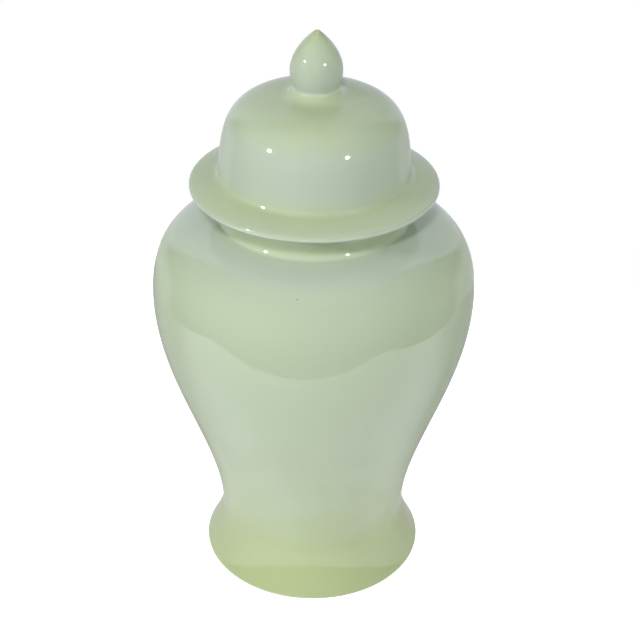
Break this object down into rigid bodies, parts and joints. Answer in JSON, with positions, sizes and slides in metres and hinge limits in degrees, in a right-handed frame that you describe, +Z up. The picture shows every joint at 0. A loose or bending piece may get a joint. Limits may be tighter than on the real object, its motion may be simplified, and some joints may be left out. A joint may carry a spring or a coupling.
{
  "type": "ginger jar",
  "caption": "Lidded porcelain temple jar with a spreading foot, high round shoulder, short neck and a domed, wide-brimmed lid with a bud finial.",
  "frame": {"origin": "centre of the standing ring, on the surface that the jar stands on", "axes": "+Z up the jar's axis towards the finial; the jar is round, so X and Y are any two level directions"},
  "size_m": [0.2532, 0.2532, 0.46],
  "materials": {
    "celadon_glaze": "pale green glossy glaze over white porcelain, greener where it pools",
    "bare_porcelain": "unglazed fired porcelain, smooth and matt"
  },
  "bodies": {
    "jar": {"foot": "celadon_glaze", "base_slab": "celadon_glaze", "lower_body": "celadon_glaze", "shoulder": "celadon_glaze", "neck": "celadon_glaze"},
    "lid_seat": {"lid_locating_ring": "bare_porcelain"},
    "lid": {"lid_brim": "celadon_glaze", "lid_dome": "celadon_glaze", "lid_finial": "celadon_glaze"}
  },
  "joints": [
    {"name": "lid_lift", "type": "slide", "parent": "jar", "child": "lid_seat", "axis": [0, 0, 1], "range_m": [0, 0.12]},
    {"name": "lid_turn", "type": "hinge", "parent": "lid_seat", "child": "lid", "pos_m": [0, 0, 0.34], "axis": [0, 0, 1], "continuous": true}
  ]
}
